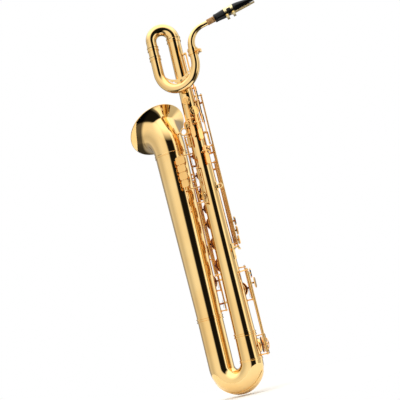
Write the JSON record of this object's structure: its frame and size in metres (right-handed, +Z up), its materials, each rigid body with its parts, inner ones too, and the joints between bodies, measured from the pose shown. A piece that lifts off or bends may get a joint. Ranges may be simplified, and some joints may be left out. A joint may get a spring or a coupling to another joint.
{
  "type": "baritone saxophone",
  "caption": "Low-A baritone saxophone: looped pigtail, neck with mouthpiece, long body tube, bow and leaning bell, with sprung padded keys on hinge rods and a strap ring.",
  "frame": {"origin": "centre of the strap ring's hole, behind the body tube", "axes": "+Z up the body tube towards the neck, +X back towards the player, -X towards the bell, -Y to the player's left"},
  "size_m": [0.486, 0.1729, 1.1213],
  "materials": {
    "body_brass": "polished brass under clear gold lacquer",
    "key_brass": "polished brass under clear gold lacquer",
    "pale_gold": "pale gold plate, polished",
    "steel": "ground steel",
    "spring_steel": "blued spring steel",
    "black_mouthpiece": "polished black hard rubber",
    "cork": "sanded cork",
    "cane": "planed cane"
  },
  "bodies": {
    "horn": {"body_tube": "body_brass", "bow_sleeve": "body_brass", "bow": "body_brass", "bow_guard": "body_brass", "bell_tube": "body_brass", "bell_flare": "body_brass", "bell_rim": "body_brass", "top_bend": "body_brass", "pigtail_loop": "body_brass", "ferrules": "body_brass", "neck_receiver": "body_brass", "loop_brace": "body_brass", "bell_brace": "body_brass", "strap_ring": "body_brass", "thumb_rest": "key_brass", "thumb_hook": "body_brass", "key_posts": "key_brass", "hinge_rods": "steel", "key_guards": "key_brass", "needle_springs": "spring_steel"},
    "neck": {"neck_tenon": "body_brass", "neck_tube": "body_brass", "neck_cork": "cork"},
    "mouthpiece": {"mouthpiece": "black_mouthpiece", "reed": "cane", "ligature": "pale_gold"},
    "ligature_screw_back": {"ligature_screw_back": "pale_gold"},
    "ligature_screw_front": {"ligature_screw_front": "pale_gold"},
    "neck_clamp_screw": {"neck_clamp_screw": "body_brass"},
    "c_key": {"c_key": "key_brass"},
    "b_key": {"b_key": "key_brass"},
    "bis_key": {"bis_key": "key_brass"},
    "a_key": {"a_key": "key_brass"},
    "g_key": {"g_key": "key_brass"},
    "f_sharp_key": {"f_sharp_key": "key_brass"},
    "f_key": {"f_key": "key_brass"},
    "e_key": {"e_key": "key_brass"},
    "d_key": {"d_key": "key_brass"},
    "g_sharp_key": {"g_sharp_key": "key_brass"},
    "side_bb_key": {"side_bb_key": "key_brass"},
    "side_c_key": {"side_c_key": "key_brass"},
    "high_e_key": {"high_e_key": "key_brass"},
    "eb_key": {"eb_key": "key_brass"},
    "low_c_key": {"low_c_key": "key_brass"},
    "low_c_sharp_key": {"low_c_sharp_key": "key_brass"},
    "low_b_key": {"low_b_key": "key_brass"},
    "low_bb_key": {"low_bb_key": "key_brass"},
    "low_a_key": {"low_a_key": "key_brass"},
    "g_sharp_lever": {"g_sharp_lever": "key_brass"},
    "low_c_sharp_lever": {"low_c_sharp_lever": "key_brass"},
    "low_b_lever": {"low_b_lever": "key_brass"},
    "low_bb_lever": {"low_bb_lever": "key_brass"},
    "palm_d_key": {"palm_d_key": "key_brass"},
    "palm_eb_key": {"palm_eb_key": "key_brass"},
    "palm_f_key": {"palm_f_key": "key_brass"},
    "octave_lever": {"octave_lever": "key_brass"},
    "lower_octave_key": {"lower_octave_key": "key_brass"},
    "upper_octave_key": {"upper_octave_key": "key_brass"},
    "low_a_lever": {"low_a_lever": "key_brass"}
  },
  "joints": [
    {"name": "c_key_hinge", "type": "hinge", "parent": "horn", "child": "c_key", "pos_m": [-0.07647, -0.00145, 0.14995], "axis": [0, 0, -1], "range_deg": [0, 12], "stiffness_Nm_per_rad": 0.15, "springref_deg": -22.92},
    {"name": "b_key_hinge", "type": "hinge", "parent": "horn", "child": "b_key", "pos_m": [-0.07647, -0.00145, 0.1147], "axis": [0, 0, -1], "range_deg": [0, 12], "stiffness_Nm_per_rad": 0.15, "springref_deg": -22.92},
    {"name": "bis_key_hinge", "type": "hinge", "parent": "horn", "child": "bis_key", "pos_m": [-0.07647, -0.00145, 0.0827], "axis": [0, 0, -1], "range_deg": [0, 12], "stiffness_Nm_per_rad": 0.15, "springref_deg": -22.92},
    {"name": "a_key_hinge", "type": "hinge", "parent": "horn", "child": "a_key", "pos_m": [-0.07647, -0.00145, 0.0492], "axis": [0, 0, -1], "range_deg": [0, 12], "stiffness_Nm_per_rad": 0.15, "springref_deg": -22.92},
    {"name": "g_key_hinge", "type": "hinge", "parent": "horn", "child": "g_key", "pos_m": [-0.07647, -0.00145, 0.00575], "axis": [0, 0, -1], "range_deg": [0, 12], "stiffness_Nm_per_rad": 0.15, "springref_deg": -22.92},
    {"name": "f_sharp_key_hinge", "type": "hinge", "parent": "horn", "child": "f_sharp_key", "pos_m": [-0.08228, -0.00444, -0.05405], "axis": [0, 0, -1], "range_deg": [0, 12], "stiffness_Nm_per_rad": 0.15, "springref_deg": -22.92},
    {"name": "f_key_hinge", "type": "hinge", "parent": "horn", "child": "f_key", "pos_m": [-0.08228, -0.00444, -0.0998], "axis": [0, 0, -1], "range_deg": [0, 12], "stiffness_Nm_per_rad": 0.15, "springref_deg": -22.92},
    {"name": "e_key_hinge", "type": "hinge", "parent": "horn", "child": "e_key", "pos_m": [-0.08228, -0.00444, -0.1573], "axis": [0, 0, -1], "range_deg": [0, 12], "stiffness_Nm_per_rad": 0.3, "springref_deg": -22.92},
    {"name": "d_key_hinge", "type": "hinge", "parent": "horn", "child": "d_key", "pos_m": [-0.08228, -0.00444, -0.21675], "axis": [0, 0, -1], "range_deg": [0, 12], "stiffness_Nm_per_rad": 0.3, "springref_deg": -22.92},
    {"name": "g_sharp_key_hinge", "type": "hinge", "parent": "horn", "child": "g_sharp_key", "pos_m": [-0.04176, -0.03821, 0.00975], "axis": [0, 0, 1], "range_deg": [0, 12], "stiffness_Nm_per_rad": 0.15, "springref_deg": -22.92},
    {"name": "side_bb_key_hinge", "type": "hinge", "parent": "horn", "child": "side_bb_key", "pos_m": [-0.01822, 0.03532, -0.052], "axis": [0, 0, -1], "range_deg": [0, 12], "stiffness_Nm_per_rad": 0.15, "springref_deg": -22.92},
    {"name": "side_c_key_hinge", "type": "hinge", "parent": "horn", "child": "side_c_key", "pos_m": [-0.01065, 0.03141, -0.02245], "axis": [0, 0, -1], "range_deg": [0, 12], "stiffness_Nm_per_rad": 0.15, "springref_deg": -22.92},
    {"name": "high_e_key_hinge", "type": "hinge", "parent": "horn", "child": "high_e_key", "pos_m": [-0.0039, 0.02586, 0.0505], "axis": [0, 0, -1], "range_deg": [0, 12], "stiffness_Nm_per_rad": 0.15, "springref_deg": -22.92},
    {"name": "eb_key_hinge", "type": "hinge", "parent": "horn", "child": "eb_key", "pos_m": [-0.00153, 0.02976, -0.2935], "axis": [0, 0, -1], "range_deg": [0, 12], "stiffness_Nm_per_rad": 0.3, "springref_deg": -22.92},
    {"name": "low_c_key_hinge", "type": "hinge", "parent": "horn", "child": "low_c_key", "pos_m": [0.01566, 0.006, -0.379], "axis": [0, 0, 1], "range_deg": [0, 12], "stiffness_Nm_per_rad": 0.3, "springref_deg": -22.92},
    {"name": "low_c_sharp_key_hinge", "type": "hinge", "parent": "horn", "child": "low_c_sharp_key", "pos_m": [-0.09306, 0.02964, -0.145], "axis": [0, 0, -1], "range_deg": [0, 12], "stiffness_Nm_per_rad": 0.3, "springref_deg": -22.92},
    {"name": "low_b_key_hinge", "type": "hinge", "parent": "horn", "child": "low_b_key", "pos_m": [-0.09824, 0.03615, -0.1195], "axis": [0, 0, 1], "range_deg": [0, 12], "stiffness_Nm_per_rad": 0.3, "springref_deg": -22.92},
    {"name": "low_bb_key_hinge", "type": "hinge", "parent": "horn", "child": "low_bb_key", "pos_m": [-0.10437, 0.04176, -0.077], "axis": [0, 0, 1], "range_deg": [0, 12], "stiffness_Nm_per_rad": 0.3, "springref_deg": -22.92},
    {"name": "low_a_key_hinge", "type": "hinge", "parent": "horn", "child": "low_a_key", "pos_m": [-0.17897, 0.03398, -0.0095], "axis": [0, 0, -1], "range_deg": [0, 12], "stiffness_Nm_per_rad": 0.3, "springref_deg": -22.92},
    {"name": "palm_d_key_hinge", "type": "hinge", "parent": "horn", "child": "palm_d_key", "pos_m": [-0.04899, -0.02968, 0.171], "axis": [0.9272, -0.3746, 0], "range_deg": [0, 8.5], "stiffness_Nm_per_rad": 0.15, "springref_deg": -22.92},
    {"name": "palm_eb_key_hinge", "type": "hinge", "parent": "horn", "child": "palm_eb_key", "pos_m": [-0.01273, -0.02037, 0.198], "axis": [0.6428, 0.766, 0], "range_deg": [0, 6.5], "stiffness_Nm_per_rad": 0.15, "springref_deg": -22.92},
    {"name": "palm_f_key_hinge", "type": "hinge", "parent": "horn", "child": "palm_f_key", "pos_m": [-0.02885, -0.03042, 0.213], "axis": [0.9659, 0.2588, 0], "range_deg": [0, 6], "stiffness_Nm_per_rad": 0.15, "springref_deg": -22.92},
    {"name": "lower_octave_key_hinge", "type": "hinge", "parent": "horn", "child": "lower_octave_key", "pos_m": [-0.00927, 0.01353, 0.265], "axis": [-0.4384, 0.8988, 0], "range_deg": [0, 5], "stiffness_Nm_per_rad": 0.15, "springref_deg": -22.92},
    {"name": "upper_octave_key_hinge", "type": "hinge", "parent": "horn", "child": "upper_octave_key", "pos_m": [-0.00711, 0, 0.343], "axis": [0, 1, 0], "range_deg": [0, 2], "stiffness_Nm_per_rad": 0.15, "springref_deg": -22.92},
    {"name": "octave_lever_hinge", "type": "hinge", "parent": "horn", "child": "octave_lever", "pos_m": [-0.00603, 0.0083, 0.167], "axis": [-0.2588, 0.9659, 0], "range_deg": [0, 9], "stiffness_Nm_per_rad": 0.15, "springref_deg": -22.92},
    {"name": "low_a_lever_hinge", "type": "hinge", "parent": "horn", "child": "low_a_lever", "pos_m": [-0.01015, -0.0188, 0.109], "axis": [0.5736, 0.8192, 0], "range_deg": [0, 9], "stiffness_Nm_per_rad": 0.15, "springref_deg": -22.92},
    {"name": "low_bb_lever_hinge", "type": "hinge", "parent": "horn", "child": "low_bb_lever", "pos_m": [-0.08406, -0.02998, 0.02875], "axis": [0, 0, 1], "range_deg": [0, 8], "stiffness_Nm_per_rad": 0.15, "springref_deg": -22.92},
    {"name": "low_b_lever_hinge", "type": "hinge", "parent": "horn", "child": "low_b_lever", "pos_m": [-0.08406, -0.02998, 0.0517], "axis": [0, 0, 1], "range_deg": [0, 8], "stiffness_Nm_per_rad": 0.15, "springref_deg": -22.92},
    {"name": "low_c_sharp_lever_hinge", "type": "hinge", "parent": "horn", "child": "low_c_sharp_lever", "pos_m": [-0.08406, -0.02998, 0.0747], "axis": [0, 0, 1], "range_deg": [0, 8], "stiffness_Nm_per_rad": 0.15, "springref_deg": -22.92},
    {"name": "g_sharp_lever_hinge", "type": "hinge", "parent": "horn", "child": "g_sharp_lever", "pos_m": [-0.08406, -0.02998, 0.09845], "axis": [0, 0, 1], "range_deg": [0, 8], "stiffness_Nm_per_rad": 0.15, "springref_deg": -22.92},
    {"name": "neck_swivel", "type": "hinge", "parent": "horn", "child": "neck", "pos_m": [0.0361, -0.037, 0.398], "axis": [0, 0, 1], "range_deg": [-50, 50]},
    {"name": "mouthpiece_slide", "type": "slide", "parent": "neck", "child": "mouthpiece", "axis": [0.9181, 0.3342, 0.213], "range_m": [-0.004, 0.01]},
    {"name": "ligature_screw_back_turn", "type": "hinge", "parent": "mouthpiece", "child": "ligature_screw_back", "pos_m": [0.15404, 0.00593, 0.46509], "axis": [0.342, -0.9397, 0], "range_deg": [0, 270]},
    {"name": "ligature_screw_front_turn", "type": "hinge", "parent": "mouthpiece", "child": "ligature_screw_front", "pos_m": [0.1724, 0.01261, 0.46935], "axis": [0.342, -0.9397, 0], "range_deg": [0, 270]},
    {"name": "neck_clamp_screw_turn", "type": "hinge", "parent": "horn", "child": "neck_clamp_screw", "pos_m": [0.0572, -0.037, 0.393], "axis": [0, -1, 0], "range_deg": [0, 270]}
  ],
  "couplings": [
    {"joint": "f_sharp_key_hinge", "follows": "f_key_hinge", "ratio": 1},
    {"joint": "c_key_hinge", "follows": "b_key_hinge", "ratio": 1},
    {"joint": "bis_key_hinge", "follows": "a_key_hinge", "ratio": 1},
    {"joint": "g_sharp_key_hinge", "follows": "g_sharp_lever_hinge", "ratio": 1.5},
    {"joint": "low_c_sharp_key_hinge", "follows": "low_c_sharp_lever_hinge", "ratio": 1.5},
    {"joint": "low_b_key_hinge", "follows": "low_b_lever_hinge", "ratio": 1.5},
    {"joint": "low_bb_key_hinge", "follows": "low_bb_lever_hinge", "ratio": 1.5},
    {"joint": "low_a_key_hinge", "follows": "low_a_lever_hinge", "ratio": 1.33},
    {"joint": "upper_octave_key_hinge", "follows": "octave_lever_hinge", "ratio": 0.22}
  ]
}
